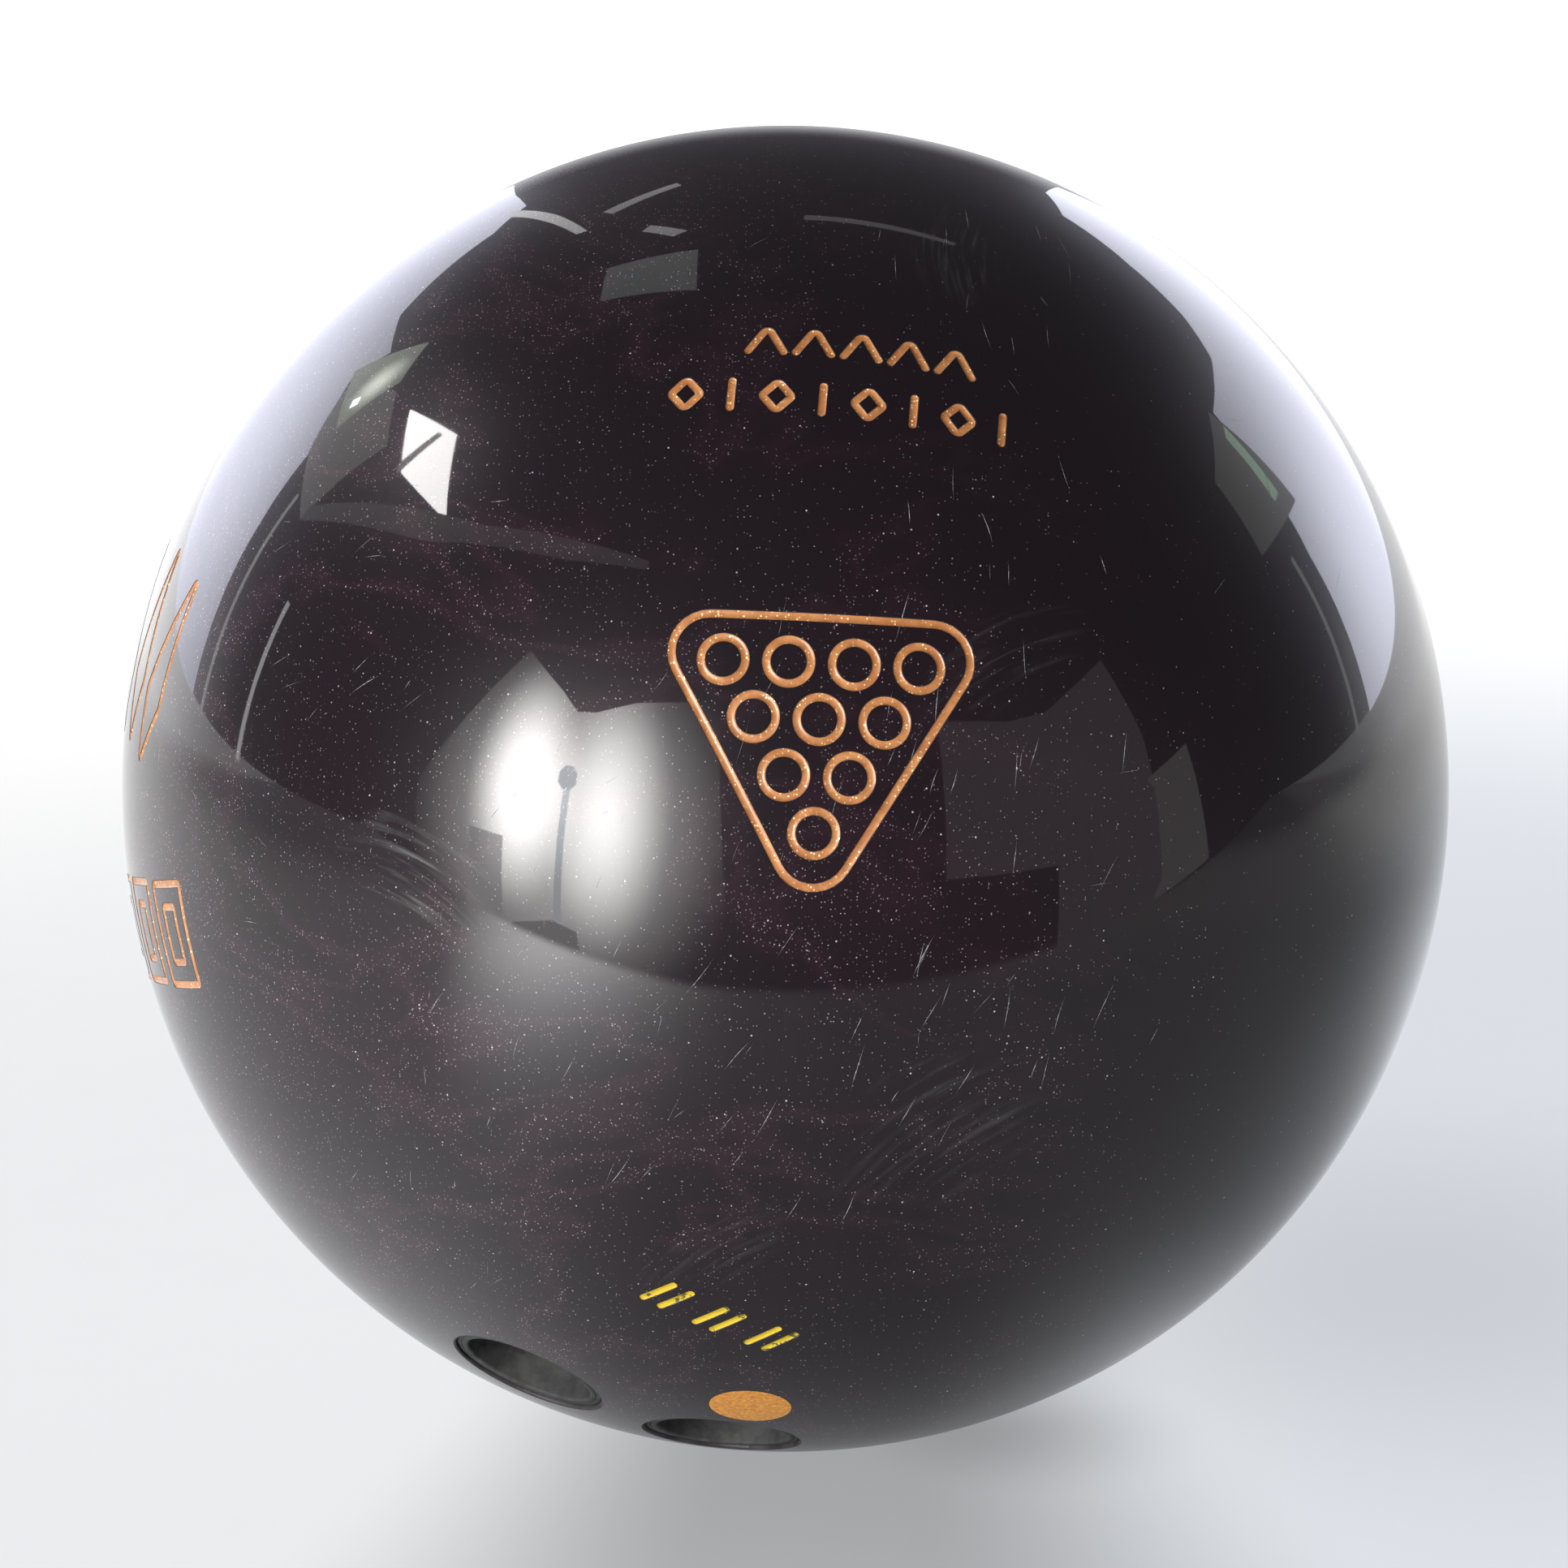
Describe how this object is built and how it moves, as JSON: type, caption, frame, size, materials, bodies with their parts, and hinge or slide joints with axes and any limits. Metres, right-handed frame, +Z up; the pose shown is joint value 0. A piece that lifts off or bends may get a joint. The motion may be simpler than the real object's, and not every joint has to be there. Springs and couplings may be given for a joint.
{
  "type": "bowling ball",
  "caption": "Drilled ten-pin bowling ball with two finger holes, a thumb hole, a locator pin, and painted engraved ornaments over a cast core.",
  "frame": {"origin": "the ball's centre", "axes": "+Z up as the ball rests, with the lowest point of the ball on the floor; -Y towards the front emblem; +X to the right of someone facing the emblem"},
  "size_m": [0.217, 0.217, 0.2169],
  "materials": {
    "coverstock": "polished near-black pearl reactive urethane with fine sparkle and light lane scuffs",
    "filler": "cast resin filler, off-white and matt",
    "weight_block": "cast dense resin with barite, brick red and satin",
    "pin_resin": "cast copper-orange pearl resin, polished with the ball",
    "insert_vinyl": "soft moulded vinyl, dark grey and satin",
    "slug_urethane": "solid black urethane, bored and sanded",
    "copper_paint": "copper paint with gold flake in the engraving, satin",
    "yellow_paint": "yellow paint in the owner's marks, worn"
  },
  "bodies": {
    "root": {"coverstock": "coverstock", "filler_core": "filler", "weight_block": "weight_block", "locator_pin": "pin_resin", "middle_finger_insert": "insert_vinyl", "ring_finger_insert": "insert_vinyl", "thumb_slug": "slug_urethane", "emblem_frame_paint": "copper_paint", "emblem_ring_paint_1": "copper_paint", "emblem_ring_paint_2": "copper_paint", "emblem_ring_paint_3": "copper_paint", "emblem_ring_paint_4": "copper_paint", "emblem_ring_paint_5": "copper_paint", "emblem_ring_paint_6": "copper_paint", "emblem_ring_paint_7": "copper_paint", "emblem_ring_paint_8": "copper_paint", "emblem_ring_paint_9": "copper_paint", "emblem_ring_paint_10": "copper_paint", "arrow_paint_1": "copper_paint", "arrow_paint_2": "copper_paint", "arrow_paint_3": "copper_paint", "arrow_paint_4": "copper_paint", "arrow_paint_5": "copper_paint", "dash_paint_1": "copper_paint", "dash_paint_2": "copper_paint", "dash_paint_3": "copper_paint", "dash_paint_4": "copper_paint", "dash_paint_5": "copper_paint", "dash_paint_6": "copper_paint", "dash_paint_7": "copper_paint", "dash_paint_8": "copper_paint", "side_blade_paint_1": "copper_paint", "side_blade_paint_2": "copper_paint", "side_blade_paint_3": "copper_paint", "side_blade_paint_4": "copper_paint", "side_blade_paint_5": "copper_paint", "side_block_paint_1": "copper_paint", "side_block_paint_2": "copper_paint", "side_block_paint_3": "copper_paint", "side_block_paint_4": "copper_paint", "side_block_paint_5": "copper_paint", "side_centre_paint_1": "copper_paint", "side_centre_paint_2": "copper_paint", "side_centre_paint_3": "copper_paint", "side_centre_paint_4": "copper_paint", "side_centre_paint_5": "copper_paint", "owner_stroke_paint_1": "yellow_paint", "owner_stroke_paint_2": "yellow_paint", "owner_stroke_paint_3": "yellow_paint", "owner_stroke_paint_4": "yellow_paint", "owner_stroke_paint_5": "yellow_paint", "owner_stroke_paint_6": "yellow_paint"}
  },
  "joints": []
}
